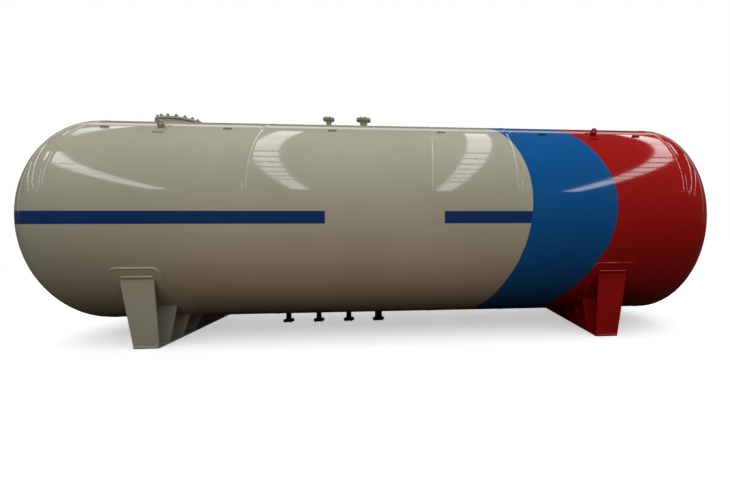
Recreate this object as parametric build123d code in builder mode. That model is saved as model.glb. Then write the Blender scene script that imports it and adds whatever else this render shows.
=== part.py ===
from build123d import *
import os
from math import atan2, copysign, cos, degrees, radians, sin, sqrt

# Horizontal pressure tank on two saddles.
# Units are millimetres. +X runs along the tank towards its right end, +Y to its rear, +Z up.
# The origin is on the ground, under the middle of the tank.

# Vessel
tank_diameter = 2800
tangent_length = 7800
straight_flange = 60
shell_wall = 16
head_wall = 18
head_depth_share = 0.25
ground_clearance = 200
course_lengths = [2200, 2200, 1100]

# Clearances and cutting lengths
seat_gap = 0.3
overrun = 50

# Saddles, each set back from its tangent line
saddle_setback = 960
saddle_half_angle = 60
base_length = 2190
base_width = 300
base_plate_thickness = 20
web_thickness = 16
rib_top_width = 382
end_rib_thickness = 20
rib_corner_cut_width = 25
rib_corner_cut_height = 70
inner_rib_thickness = 14
inner_rib_setback = 225
inner_rib_pitch = 290
inner_ribs_per_side = 3
inner_rib_top_width = 500
wear_pad_width = 540
wear_pad_thickness = 14
wear_pad_half_angle = 65
wear_pad_corner = 75
anchor_hole = 28
anchor_slot_length = 60
anchor_end_margin = 130
anchor_side_margin = 60

# Manhole, set back from the left tangent line
manhole_setback = 807
manhole_bore = 400
manhole_diameter = 580
manhole_height = 20
manhole_bolt_circle = 525
manhole_bolt_count = 16
manhole_bolt_hole = 26
manhole_gasket_thickness = 4
manhole_cover_thickness = 36
manhole_edge_chamfer = 3

# Crown nozzles: how far each stands from the start of the second course, then the sizes of its flange
crown_nozzle_height = 132
crown_nozzle_setbacks = [715, 1238]
crown_flange_diameters = [170, 215]
crown_neck_diameters = [76, 108]
crown_bolt_circles = [138, 182]
crown_bolt_hole = 14
crown_bolt_count = 8
crown_neck_wall = 8
crown_flange_thickness = 16
crown_blind_thickness = 12

# Nozzles under the belly, in a row from the start of the second course
drain_nozzle_depth = 140
drain_nozzle_setback = 72
drain_nozzle_pitch = 455
drain_flange_diameters = [160, 160, 160, 180]
drain_neck_diameters = [76, 76, 76, 108]
drain_bolt_circles = [130, 130, 130, 150]
drain_bolt_hole = 14
drain_bolt_count = 4
drain_neck_wall = 6
drain_flange_thickness = 14
drain_blind_thickness = 10

# What every nozzle shares
hub_length_share = 2
hub_spread_share = 0.3
nozzle_gasket_thickness = 2
neck_reach_inside = 12

# Lifting lugs, each set back from its tangent line
lug_setback = 1045
lug_angle = 34.5
lug_foot_width = 100
lug_head_width = 74
lug_height = 100
lug_thickness = 25
lug_eye = 40
lug_pad_width = 130
lug_pad_length = 250
lug_pad_thickness = 12
lug_pad_corner = 20

# Bracket clips along both shoulders: four stand between the lugs, as shares of a lug's own place,
# and one beyond each lug, as a share of the lug's setback
bracket_inner_shares = [-0.721, -0.254, 0.251, 0.746]
bracket_outer_shares = [-0.668, 0.615]
bracket_angle = 34
bracket_length = 110
bracket_height = 22
bracket_thickness = 8

# Sizes that follow from those above
tank_radius = tank_diameter / 2
axis_height = ground_clearance + tank_radius
head_depth = head_depth_share * tank_diameter
tangent_half = tangent_length / 2
head_seam = tangent_half - straight_flange
saddle_place = tangent_half - saddle_setback
manhole_place = manhole_setback - tangent_half
lug_place = tangent_half - lug_setback
bracket_places = [share * lug_place for share in bracket_inner_shares]
bracket_places += [copysign(lug_place, share) + share * lug_setback for share in bracket_outer_shares]
crown_height = axis_height + tank_radius
pad_radius = tank_radius + seat_gap + wear_pad_thickness
rib_radius = pad_radius + seat_gap
rib_foot = base_length / 2
rib_head_y = rib_radius * sin(radians(saddle_half_angle))
rib_head_z = axis_height - rib_radius * cos(radians(saddle_half_angle))
rib_lean = degrees(atan2(rib_head_y - rib_foot, rib_head_z - base_plate_thickness))
rib_length = sqrt((rib_head_y - rib_foot) ** 2 + (rib_head_z - base_plate_thickness) ** 2)
anchor_spacing_y = base_length - 2 * anchor_end_margin
anchor_spacing_x = base_width - 2 * anchor_side_margin
second_course_start = course_lengths[0] - head_seam
crown_nozzle_places = [second_course_start + setback for setback in crown_nozzle_setbacks]
drain_nozzle_places = [
    second_course_start + drain_nozzle_setback + index * drain_nozzle_pitch
    for index in range(len(drain_neck_diameters))
]

os.makedirs("parts", exist_ok=True)


def save(piece, label):
    """Label a finished piece and write it to its own file."""
    piece.part.label = label
    export_step(piece.part, f"parts/{label}.step")


# Shell and heads

def shell_holes():
    """Each hole through the shell: its place along the tank, its radius, and 1 for the crown or -1."""
    holes = [(manhole_place, manhole_bore / 2, 1)]
    for place, neck in zip(crown_nozzle_places, crown_neck_diameters):
        holes.append((place, neck / 2 + seat_gap, 1))
    for place, neck in zip(drain_nozzle_places, drain_neck_diameters):
        holes.append((place, neck / 2 + seat_gap, -1))
    return holes


def make_shell_course(start, length):
    """One rolled ring of the shell, with the holes that fall within it."""
    with BuildPart() as course:
        with BuildSketch(Plane.YZ.offset(start)):
            with Locations((0, axis_height)):
                Circle(tank_radius)
                Circle(tank_radius - shell_wall, mode=Mode.SUBTRACT)
        extrude(amount=length)
        for place, hole_radius, side in shell_holes():
            if start < place < start + length:
                with BuildSketch(Plane.XY.offset(axis_height)):
                    with Locations((place, 0)):
                        Circle(hole_radius)
                extrude(amount=side * (tank_radius + overrun), mode=Mode.SUBTRACT)
    return course


def make_head(side):
    """A two-to-one ellipsoidal head with its straight flange; side is 1 for the right end."""
    inner_radius = tank_radius - head_wall
    inner_depth = head_depth - head_wall
    tangent = Plane(
        origin=(side * tangent_half, 0, axis_height),
        x_dir=(side, 0, 0),
        z_dir=(0, -side, 0),
    )
    with BuildPart() as head:
        with BuildSketch(tangent):
            with BuildLine():
                Line((-straight_flange, inner_radius), (-straight_flange, tank_radius))
                Line((-straight_flange, tank_radius), (0, tank_radius))
                EllipticalCenterArc((0, 0), head_depth, tank_radius, 0, arc_size=90)
                Line((head_depth, 0), (inner_depth, 0))
                EllipticalCenterArc((0, 0), inner_depth, inner_radius, 0, arc_size=90)
                Line((0, inner_radius), (-straight_flange, inner_radius))
            make_face()
        revolve(axis=Axis((0, 0, axis_height), (1, 0, 0)))
    return head


course_start = -head_seam
for index, length in enumerate(course_lengths + [head_seam * 2 - sum(course_lengths)]):
    save(make_shell_course(course_start, length), f"shell_course_{index + 1}")
    course_start += length

save(make_head(-1), "left_head")
save(make_head(1), "right_head")


# Saddles

def make_base_plate(centre, slotted):
    """The plate that stands on the foundation; the sliding saddle has slots for its anchor bolts."""
    with BuildPart() as plate:
        with BuildSketch():
            with Locations((centre, 0)):
                Rectangle(base_width, base_length)
                with GridLocations(anchor_spacing_x, anchor_spacing_y, 2, 2):
                    if slotted:
                        SlotOverall(anchor_slot_length, anchor_hole, mode=Mode.SUBTRACT)
                    else:
                        Circle(anchor_hole / 2, mode=Mode.SUBTRACT)
        extrude(amount=base_plate_thickness)
    return plate


def make_web_plate(centre):
    """The upright plate across the tank, hollowed to the wear pad and closed by the end ribs."""
    inner_foot = rib_foot - end_rib_thickness / cos(radians(rib_lean))
    inner_head = inner_foot + (rib_head_y - rib_foot)
    with BuildPart() as web:
        with BuildSketch(Plane.YZ.offset(centre - web_thickness / 2)):
            with BuildLine():
                Polyline(
                    (-inner_foot, base_plate_thickness),
                    (inner_foot, base_plate_thickness),
                    (inner_head, rib_head_z),
                    (-inner_head, rib_head_z),
                    close=True,
                )
            make_face()
            with Locations((0, axis_height)):
                Circle(rib_radius, mode=Mode.SUBTRACT)
        extrude(amount=web_thickness)
    return web


def make_end_ribs(centre):
    """The two outer ribs, which lean outwards, widen upwards and lose the corner nearest the tank's end."""
    towards_end = 1 if centre > 0 else -1
    with BuildPart() as ribs:
        for side in (-1, 1):
            lean = radians(rib_lean)
            outer = -side * towards_end
            face = Plane(
                origin=(centre, side * rib_foot, base_plate_thickness),
                x_dir=(-side, 0, 0),
                z_dir=(0, side * cos(lean), -sin(lean)),
            )
            with BuildSketch(face):
                with BuildLine():
                    Polyline(
                        (-outer * base_width / 2, 0),
                        (outer * base_width / 2, 0),
                        (outer * rib_top_width / 2, rib_length - rib_corner_cut_height),
                        (outer * (rib_top_width / 2 - rib_corner_cut_width), rib_length),
                        (-outer * rib_top_width / 2, rib_length),
                        close=True,
                    )
                make_face()
            extrude(amount=-end_rib_thickness)
        with BuildSketch(Plane.XY.offset(base_plate_thickness)):
            with Locations((centre, 0)):
                Rectangle(tank_diameter, tank_diameter)
        extrude(amount=-tank_diameter, mode=Mode.SUBTRACT)
        with BuildSketch(Plane.YZ.offset(centre - wear_pad_width)):
            with Locations((0, axis_height)):
                Circle(rib_radius)
        extrude(amount=2 * wear_pad_width, mode=Mode.SUBTRACT)
    return ribs


def make_inner_ribs(centre):
    """The upright stiffeners on both faces of the web, flared to the wear pad and cut to its curve."""
    with BuildPart() as ribs:
        for side in (-1, 1):
            for index in range(inner_ribs_per_side):
                place = side * (rib_foot - inner_rib_setback - index * inner_rib_pitch)
                flare_height = axis_height - sqrt(rib_radius ** 2 - place ** 2)
                with BuildSketch(Plane.XZ.offset(-place - inner_rib_thickness / 2)):
                    with BuildLine():
                        Polyline(
                            (centre - base_width / 2, base_plate_thickness),
                            (centre + base_width / 2, base_plate_thickness),
                            (centre + inner_rib_top_width / 2, flare_height),
                            (centre + inner_rib_top_width / 2, axis_height),
                            (centre - inner_rib_top_width / 2, axis_height),
                            (centre - inner_rib_top_width / 2, flare_height),
                            close=True,
                        )
                    make_face()
                    with Locations((centre, axis_height / 2)):
                        Rectangle(web_thickness, axis_height, mode=Mode.SUBTRACT)
                extrude(amount=inner_rib_thickness)
        with BuildSketch(Plane.YZ.offset(centre - wear_pad_width)):
            with Locations((0, axis_height)):
                Circle(rib_radius)
        extrude(amount=2 * wear_pad_width, mode=Mode.SUBTRACT)
    return ribs


def make_wear_pad(centre):
    """The curved plate between the shell and the saddle, with rounded corners."""
    pad_half_chord = pad_radius * sin(radians(wear_pad_half_angle))
    with BuildPart() as pad:
        with BuildSketch(Plane.YZ.offset(centre - wear_pad_width / 2)):
            with BuildLine():
                for radius in (tank_radius + seat_gap, pad_radius):
                    CenterArc((0, axis_height), radius, -90 - wear_pad_half_angle, 2 * wear_pad_half_angle)
                for side in (-1, 1):
                    angle = radians(side * wear_pad_half_angle)
                    inner = tank_radius + seat_gap
                    Line(
                        (inner * sin(angle), axis_height - inner * cos(angle)),
                        (pad_radius * sin(angle), axis_height - pad_radius * cos(angle)),
                    )
            make_face()
        extrude(amount=wear_pad_width)
        corner_edges = pad.edges().filter_by(GeomType.LINE).filter_by(Axis.X, reverse=True)
        fillet(corner_edges, wear_pad_corner)
    return pad


for side, end in ((-1, "left"), (1, "right")):
    saddle_centre = side * saddle_place
    save(make_base_plate(saddle_centre, side > 0), f"{end}_saddle_base_plate")
    save(make_web_plate(saddle_centre), f"{end}_saddle_web")
    save(make_end_ribs(saddle_centre), f"{end}_saddle_end_ribs")
    save(make_inner_ribs(saddle_centre), f"{end}_saddle_inner_ribs")
    save(make_wear_pad(saddle_centre), f"{end}_saddle_wear_pad")


# Manhole

def make_manhole_ring():
    """The thick ring round the opening, cut to the curve of the shell that it sits on."""
    with BuildPart() as ring:
        with BuildSketch(Plane.XY.offset(crown_height + manhole_height)):
            with Locations((manhole_place, 0)):
                Circle(manhole_diameter / 2)
                Circle(manhole_bore / 2, mode=Mode.SUBTRACT)
                with PolarLocations(manhole_bolt_circle / 2, manhole_bolt_count):
                    Circle(manhole_bolt_hole / 2, mode=Mode.SUBTRACT)
        extrude(amount=-tank_radius)
        with BuildSketch(Plane.YZ.offset(manhole_place - manhole_diameter)):
            with Locations((0, axis_height)):
                Circle(tank_radius + seat_gap)
        extrude(amount=2 * manhole_diameter, mode=Mode.SUBTRACT)
    return ring


def make_manhole_gasket():
    """The flat ring between the cover and the ring, inside the bolt circle."""
    gasket_radius = (manhole_bolt_circle - manhole_bolt_hole) / 2
    with BuildPart() as gasket:
        with BuildSketch(Plane.XY.offset(crown_height + manhole_height)):
            with Locations((manhole_place, 0)):
                Circle(gasket_radius)
                Circle(manhole_bore / 2, mode=Mode.SUBTRACT)
        extrude(amount=manhole_gasket_thickness)
    return gasket


def make_manhole_cover():
    """The flat bolted cover."""
    cover_bottom = crown_height + manhole_height + manhole_gasket_thickness
    cover_top = cover_bottom + manhole_cover_thickness
    with BuildPart() as cover:
        with BuildSketch(Plane.XY.offset(cover_bottom)):
            with Locations((manhole_place, 0)):
                Circle(manhole_diameter / 2)
                with PolarLocations(manhole_bolt_circle / 2, manhole_bolt_count):
                    Circle(manhole_bolt_hole / 2, mode=Mode.SUBTRACT)
        extrude(amount=manhole_cover_thickness)
        rims = cover.edges().filter_by(GeomType.CIRCLE).sort_by(SortBy.RADIUS)[-2:]
        chamfer(rims, manhole_edge_chamfer)
    return cover


save(make_manhole_ring(), "manhole_ring")
save(make_manhole_gasket(), "manhole_gasket")
save(make_manhole_cover(), "manhole_cover")


# Nozzles

def make_nozzle(place, side, reach, neck, wall, flange, thickness, circle, hole, count):
    """A weld-neck nozzle on the crown (side 1) or under the belly (side -1)."""
    face_height = axis_height + side * (tank_radius + reach)
    inside_height = axis_height + side * (tank_radius - shell_wall - neck_reach_inside)
    flange_back = face_height - side * thickness
    hub_foot = flange_back - side * hub_length_share * thickness
    hub_radius = neck / 2 + hub_spread_share * (circle - neck) / 2
    with BuildPart() as nozzle:
        with BuildSketch(Plane.XZ):
            with BuildLine():
                pipe = Polyline(
                    (place + neck / 2 - wall, inside_height),
                    (place + neck / 2, inside_height),
                    (place + neck / 2, hub_foot),
                )
                hub = TangentArc(pipe @ 1, (place + hub_radius, flange_back), tangent=(0, side))
                Polyline(
                    hub @ 1,
                    (place + flange / 2, flange_back),
                    (place + flange / 2, face_height),
                    (place + neck / 2 - wall, face_height),
                    (place + neck / 2 - wall, inside_height),
                )
            make_face()
        revolve(axis=Axis((place, 0, 0), (0, 0, 1)))
        with BuildSketch(Plane.XY.offset(face_height)):
            with Locations((place, 0)):
                with PolarLocations(circle / 2, count, start_angle=180 / count):
                    Circle(hole / 2)
        extrude(amount=-side * thickness, mode=Mode.SUBTRACT)
    return nozzle


def make_blind_flange(place, side, reach, flange, thickness, circle, hole, count):
    """The blind flange that closes a nozzle, past its gasket."""
    near_face = axis_height + side * (tank_radius + reach + nozzle_gasket_thickness)
    with BuildPart() as blind:
        with BuildSketch(Plane.XY.offset(near_face)):
            with Locations((place, 0)):
                Circle(flange / 2)
                with PolarLocations(circle / 2, count, start_angle=180 / count):
                    Circle(hole / 2, mode=Mode.SUBTRACT)
        extrude(amount=side * thickness)
    return blind


def make_nozzle_gaskets():
    """The flat gasket rings between the nozzles and their blind flanges, inside the bolts."""
    rings = []
    for place, neck, circle in zip(crown_nozzle_places, crown_neck_diameters, crown_bolt_circles):
        face_height = crown_height + crown_nozzle_height
        rings.append((place, face_height, 1, circle - crown_bolt_hole, neck - 2 * crown_neck_wall))
    for place, neck, circle in zip(drain_nozzle_places, drain_neck_diameters, drain_bolt_circles):
        face_height = ground_clearance - drain_nozzle_depth
        rings.append((place, face_height, -1, circle - drain_bolt_hole, neck - 2 * drain_neck_wall))
    with BuildPart() as gaskets:
        for place, face_height, side, outer, inner in rings:
            with BuildSketch(Plane.XY.offset(face_height)):
                with Locations((place, 0)):
                    Circle(outer / 2)
                    Circle(inner / 2, mode=Mode.SUBTRACT)
            extrude(amount=side * nozzle_gasket_thickness)
    return gaskets


for index, place in enumerate(crown_nozzle_places):
    flange = crown_flange_diameters[index]
    circle = crown_bolt_circles[index]
    nozzle = make_nozzle(
        place, 1, crown_nozzle_height, crown_neck_diameters[index], crown_neck_wall, flange,
        crown_flange_thickness, circle, crown_bolt_hole, crown_bolt_count,
    )
    blind = make_blind_flange(
        place, 1, crown_nozzle_height, flange, crown_blind_thickness, circle, crown_bolt_hole,
        crown_bolt_count,
    )
    save(nozzle, f"crown_nozzle_{index + 1}")
    save(blind, f"crown_blind_{index + 1}")

for index, place in enumerate(drain_nozzle_places):
    flange = drain_flange_diameters[index]
    circle = drain_bolt_circles[index]
    nozzle = make_nozzle(
        place, -1, drain_nozzle_depth, drain_neck_diameters[index], drain_neck_wall, flange,
        drain_flange_thickness, circle, drain_bolt_hole, drain_bolt_count,
    )
    blind = make_blind_flange(
        place, -1, drain_nozzle_depth, flange, drain_blind_thickness, circle, drain_bolt_hole,
        drain_bolt_count,
    )
    save(nozzle, f"drain_nozzle_{index + 1}")
    save(blind, f"drain_blind_{index + 1}")

save(make_nozzle_gaskets(), "nozzle_gaskets")


# Lifting lugs

def lug_foot(end, side):
    """The plane on the shell under a lug: its x along the tank, its z away from the axis."""
    angle = radians(lug_angle)
    outward = (0, side * sin(angle), cos(angle))
    origin = (end * lug_place, tank_radius * outward[1], axis_height + tank_radius * outward[2])
    return Plane(origin=origin, x_dir=(1, 0, 0), z_dir=outward)


def make_lug_pad(end, side):
    """The doubling plate under a lug, curved to the shell."""
    with BuildPart() as pad:
        with BuildSketch(Plane.YZ.offset(end * lug_place - lug_pad_width)):
            with Locations((0, axis_height)):
                Circle(tank_radius + seat_gap + lug_pad_thickness)
                Circle(tank_radius + seat_gap, mode=Mode.SUBTRACT)
        extrude(amount=2 * lug_pad_width)
        with BuildSketch(lug_foot(end, side).offset(-lug_pad_width)):
            RectangleRounded(lug_pad_width, lug_pad_length, lug_pad_corner)
        extrude(amount=2 * lug_pad_width, mode=Mode.INTERSECT)
    return pad


def make_lug(end, side):
    """A plate lug with a round head and an eye, standing square on its pad."""
    foot = lug_foot(end, side)
    head_radius = lug_head_width / 2
    eye_height = lug_pad_thickness + lug_height - head_radius
    face = Plane(origin=foot.origin, x_dir=(1, 0, 0), z_dir=-foot.y_dir)
    with BuildPart() as lug:
        with BuildSketch(face.offset(-lug_thickness / 2)):
            with BuildLine():
                Polyline(
                    (-lug_foot_width / 2, 0),
                    (lug_foot_width / 2, 0),
                    (head_radius, eye_height),
                    (-head_radius, eye_height),
                    close=True,
                )
            make_face()
            with Locations((0, eye_height)):
                Circle(head_radius)
                Circle(lug_eye / 2, mode=Mode.SUBTRACT)
        extrude(amount=lug_thickness)
        with BuildSketch(Plane.YZ.offset(end * lug_place - lug_pad_width)):
            with Locations((0, axis_height)):
                Circle(tank_radius + lug_pad_thickness + 2 * seat_gap)
        extrude(amount=2 * lug_pad_width, mode=Mode.SUBTRACT)
    return lug


for end, end_name in ((-1, "left"), (1, "right")):
    for side, side_name in ((-1, "front"), (1, "rear")):
        save(make_lug_pad(end, side), f"{end_name}_{side_name}_lug_pad")
        save(make_lug(end, side), f"{end_name}_{side_name}_lifting_lug")


# Bracket clips

def make_bracket_clips(side):
    """A row of short flat clips that stand square on one shoulder of the shell."""
    angle = radians(bracket_angle)
    outward = (0, side * sin(angle), cos(angle))
    foot = tank_radius + seat_gap
    with BuildPart() as clips:
        for place in bracket_places:
            face = Plane(
                origin=(place, side * foot * sin(angle), axis_height + foot * cos(angle)),
                x_dir=(1, 0, 0),
                z_dir=outward,
            )
            with BuildSketch(face):
                Rectangle(bracket_length, bracket_thickness)
            extrude(amount=bracket_height)
    return clips


save(make_bracket_clips(-1), "front_bracket_clips")
save(make_bracket_clips(1), "rear_bracket_clips")
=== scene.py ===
"""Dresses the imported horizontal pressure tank: welds, bolts, edges, paint and a plain studio."""

from __future__ import annotations

import logging
import math
import random
from dataclasses import dataclass
from enum import Enum

import bmesh
import bpy
from mathutils import Matrix, Vector


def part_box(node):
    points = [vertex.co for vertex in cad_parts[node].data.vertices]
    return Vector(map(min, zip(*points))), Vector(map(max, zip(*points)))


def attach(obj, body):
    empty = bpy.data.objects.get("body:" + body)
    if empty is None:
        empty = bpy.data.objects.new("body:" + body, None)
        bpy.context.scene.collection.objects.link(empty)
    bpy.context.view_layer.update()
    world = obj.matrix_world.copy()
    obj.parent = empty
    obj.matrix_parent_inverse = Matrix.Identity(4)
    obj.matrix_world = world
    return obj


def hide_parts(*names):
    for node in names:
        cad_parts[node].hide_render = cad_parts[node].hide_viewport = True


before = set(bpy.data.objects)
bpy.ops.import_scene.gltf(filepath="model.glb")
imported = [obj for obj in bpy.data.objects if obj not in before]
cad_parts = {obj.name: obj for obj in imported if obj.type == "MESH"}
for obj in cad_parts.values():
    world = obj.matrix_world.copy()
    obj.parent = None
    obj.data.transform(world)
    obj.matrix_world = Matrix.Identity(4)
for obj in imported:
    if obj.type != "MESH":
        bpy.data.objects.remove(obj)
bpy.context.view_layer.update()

LOG = logging.getLogger("pressure_tank")
BODY = "root"
ALONG = Vector((1, 0, 0))
COURSES = (1, 2, 3, 4)

Colour = tuple[float, float, float, float]
Pair = tuple[float, float]
Material = bpy.types.Material
Socket = bpy.types.NodeSocket
Value = float | Colour | Socket


class Slot(Enum):
    """The record's material slots."""

    CREAM = "cream_paint"
    RED = "red_paint"
    DARK = "dark_paint"
    GASKET = "gasket"


class Direction(Enum):
    """A way along one axis, by its sign."""

    @property
    def label(self) -> str:
        """The direction's word in the names of pieces."""
        return self.name.lower()


class End(Direction):
    """The two ends of the tank, with their sign along X."""

    LEFT = -1
    RIGHT = 1

    @property
    def slot(self) -> Slot:
        """The slot of the paint on this end's fittings."""
        return Slot.RED if self is End.RIGHT else Slot.CREAM


class Side(Direction):
    """The two long sides of the tank, with their sign along Y."""

    FRONT = -1
    REAR = 1


# Shape helpers


@dataclass(frozen=True)
class TankForm:
    """The tank's round body, which every fitting sits on."""

    radius: float = 1.4
    axis_height: float = 1.6

    def height_at(self, across: float, side: int) -> float:
        """Height of the shell at a place across the tank, over it for side 1 and under it for -1."""
        return self.axis_height + side * math.sqrt(self.radius ** 2 - across ** 2)

    def on_shell(self, along: float, angle: float, lift: float = 0) -> Vector:
        """Point at an angle from the crown, positive to the rear, and lifted off the shell."""
        reach = self.radius + lift
        return Vector((along, reach * math.sin(angle), self.axis_height + reach * math.cos(angle)))

    def seams(self) -> list[float]:
        """Places of the girth seams, from the ends of the shell courses."""
        courses = [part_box(f"shell_course_{number}") for number in COURSES]
        return [courses[0][0].x] + [high.x for _, high in courses]


FORM = TankForm()


def centre_of(node: str) -> Vector:
    """Middle of a node's box."""
    low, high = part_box(node)
    return (low + high) / 2


def ring_points(centre: Vector, radius: float, steps: int, start: float = 0) -> list[Vector]:
    """Points spread evenly round a level ring, the first turned by a start in radians."""
    turns = [start + math.tau * step / steps for step in range(steps)]
    return [centre + Vector((radius * math.cos(turn), radius * math.sin(turn), 0)) for turn in turns]


def shade_by_angle(bm: bmesh.types.BMesh, limit: float = math.radians(28)) -> None:
    """Shade every face smooth, with a sharp edge wherever two faces meet at more than a limit.

    Args:
        bm: the mesh to shade.
        limit: the least angle of a sharp edge.
    """
    for face in bm.faces:
        face.smooth = True
    for edge in bm.edges:
        edge.smooth = edge.is_manifold and edge.calc_face_angle(0) < limit


def break_edges(bm: bmesh.types.BMesh, edges: list[bmesh.types.BMEdge], width: float) -> None:
    """Break edges with a narrow flat of a width on each side of them."""
    bmesh.ops.bevel(
        bm,
        geom=edges,
        offset=width,
        offset_type="OFFSET",
        segments=1,
        profile=0.5,
        affect="EDGES",
        clamp_overlap=True,
        material=-1,
    )


def add_to_scene(name: str, data: bpy.types.ID) -> bpy.types.Object:
    """Make an object and link it to the scene.

    Args:
        name: the object's name.
        data: its mesh, lamp or camera.

    Returns:
        The new object.
    """
    added = bpy.data.objects.new(name, data)
    bpy.context.scene.collection.objects.link(added)
    return added


def add_piece(
    name: str,
    bm: bmesh.types.BMesh,
    finish: Material,
    replaced: tuple[str, ...] = (),
) -> None:
    """Turn a finished mesh into a piece of the tank.

    Args:
        name: the piece's name.
        bm: its mesh, which is freed.
        finish: its material.
        replaced: the CAD nodes that it stands for.
    """
    mesh = bpy.data.meshes.new(name)
    bm.to_mesh(mesh)
    bm.free()
    mesh.materials.append(finish)
    piece = add_to_scene(name, mesh)
    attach(piece, BODY)
    if replaced:
        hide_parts(*replaced)
    LOG.info("%s: %d faces", name, len(mesh.polygons))


def dress_node(node: str, finish: Material) -> None:
    """Give a CAD node its finish and keep its shape.

    Args:
        node: the CAD node.
        finish: its material.
    """
    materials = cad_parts[node].data.materials
    materials.clear()
    materials.append(finish)
    LOG.info("%s: dressed", node)


def eased_copy(node: str, finish: Material, edge: float, name: str) -> None:
    """Copy a node, break its sharp edges and let the copy stand for it.

    Args:
        node: the CAD node.
        finish: the copy's material.
        edge: width of the broken edges.
        name: the copy's name.
    """
    merge_distance = 0.00002
    flat = math.radians(0.3)
    sharp = math.radians(35)
    bm = bmesh.new()
    bm.from_mesh(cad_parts[node].data)
    bmesh.ops.remove_doubles(bm, verts=bm.verts, dist=merge_distance)
    bmesh.ops.dissolve_limit(bm, angle_limit=flat, verts=bm.verts, edges=bm.edges)
    edges = [item for item in bm.edges if item.is_manifold and item.calc_face_angle(0) > sharp]
    break_edges(bm, edges, edge)
    shade_by_angle(bm)
    add_piece(name, bm, finish, (node,))


class WeldRun:
    """A set of beads laid along paths, made as one mesh."""

    def __init__(self) -> None:
        """Start with no beads."""
        self.mesh = bmesh.new()

    def lay(self, path: list[Vector], size: float, closed: bool = False) -> None:
        """Lay one bead.

        Args:
            path: the points that it follows.
            size: its radius.
            closed: whether it joins its own start.
        """
        curve = bpy.data.curves.new("bead", "CURVE")
        curve.dimensions = "3D"
        curve.bevel_depth = size
        curve.bevel_resolution = 1
        curve.use_fill_caps = True
        spline = curve.splines.new("POLY")
        spline.points.add(len(path) - 1)
        for point, place in zip(spline.points, path):
            point.co = (*place, 1)
        spline.use_cyclic_u = closed
        holder = bpy.data.objects.new("bead", curve)
        bead = bpy.data.meshes.new_from_object(holder)
        self.mesh.from_mesh(bead)
        bpy.data.objects.remove(holder)
        bpy.data.curves.remove(curve)
        bpy.data.meshes.remove(bead)

    def lay_collar(self, centre: Vector, radius: float, side: int, size: float, steps: int = 48) -> None:
        """Lay a bead round an upright pipe where it meets the shell.

        Args:
            centre: any point on the pipe's axis.
            radius: the pipe's radius.
            side: 1 for the crown and -1 for the belly.
            size: the bead's radius.
            steps: points round the pipe.
        """
        path = ring_points(centre, radius, steps)
        for point in path:
            point.z = FORM.height_at(point.y, side)
        self.lay(path, size, closed=True)

    def finish(self, name: str, material: Material, slot: Slot) -> None:
        """Make the beads a piece.

        Args:
            name: the piece's name.
            material: its finish.
            slot: not used.
        """
        for face in self.mesh.faces:
            face.smooth = True
        add_piece(name, self.mesh, material)


# Node trees


class NodeCanvas:
    """Adds and links shader nodes in one tree."""

    def __init__(self, tree: bpy.types.NodeTree) -> None:
        """Empty a tree and take it."""
        tree.nodes.clear()
        self.tree = tree

    def add(
        self, kind: str, inputs: dict[str | int, Value] | None = None, **settings: object
    ) -> bpy.types.Node:
        """Add one node.

        Args:
            kind: the node's type.
            inputs: values or sockets for its inputs, by name or number.
            settings: the node's own settings.

        Returns:
            The node.
        """
        node = self.tree.nodes.new(kind)
        for name, value in settings.items():
            setattr(node, name, value)
        for key, value in (inputs or {}).items():
            if isinstance(value, Socket):
                self.tree.links.new(value, node.inputs[key])
            else:
                node.inputs[key].default_value = value
        return node

    def calc(self, operation: str, *values: Value, clamp: bool = False) -> Socket:
        """Result of a Math node on up to three values."""
        node = self.add("ShaderNodeMath", dict(enumerate(values)), operation=operation, use_clamp=clamp)
        return node.outputs[0]

    def ramp(self, value: Value, low: float, high: float, start: float, end: float) -> Socket:
        """Value carried smoothly from one range to another."""
        inputs = {"Value": value, "From Min": low, "From Max": high, "To Min": start, "To Max": end}
        return self.add("ShaderNodeMapRange", inputs, interpolation_type="SMOOTHSTEP").outputs["Result"]

    def soft_step(self, distance: Value, softness: float) -> Socket:
        """0 before a line and 1 past it, with a soft line of a given width."""
        return self.calc("MULTIPLY_ADD", distance, 1 / softness, 0.5, clamp=True)

    def blend(self, share: Value, under: Value, over: Value) -> Socket:
        """Two colours mixed by a share."""
        return self.add("ShaderNodeMix", {0: share, 6: under, 7: over}, data_type="RGBA").outputs[2]

    def noise(self, place: Socket, scale: float, detail: float) -> Socket:
        """Noise between 0 and 1 at a place, with its scale in spots per metre."""
        inputs = {"Vector": place, "Scale": scale, "Detail": detail}
        return self.add("ShaderNodeTexNoise", inputs).outputs["Fac"]

    def bump(self, height: Value) -> Socket:
        """Normal of a relief that is given as heights in metres."""
        return self.add("ShaderNodeBump", {"Height": height, "Distance": 1.0}).outputs[0]

    def surface(self, inputs: dict[str, Value]) -> None:
        """End a material's tree in a Principled shader with these inputs."""
        shader = self.add("ShaderNodeBsdfPrincipled", inputs)
        self.add("ShaderNodeOutputMaterial", {0: shader.outputs[0]})

    def curve(self, value: Value, points: list[Pair]) -> Socket:
        """Value read off a smooth curve.

        Args:
            value: where on the curve it is read.
            points: the curve's points, both ways between 0 and 1.

        Returns:
            The curve's value there.
        """
        node = self.add("ShaderNodeFloatCurve", {"Value": value})
        line = node.mapping.curves[0]
        line.points[0].location = points[0]
        line.points[1].location = points[-1]
        for point in points[1:-1]:
            line.points.new(*point)
        node.mapping.update()
        return node.outputs[0]


def new_material(name: str) -> tuple[Material, NodeCanvas]:
    """Make an empty node material.

    Args:
        name: the material's name.

    Returns:
        The material and the canvas of its tree.
    """
    material = bpy.data.materials.new(name)
    material.use_nodes = True
    return material, NodeCanvas(material.node_tree)


# Finishes


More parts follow.
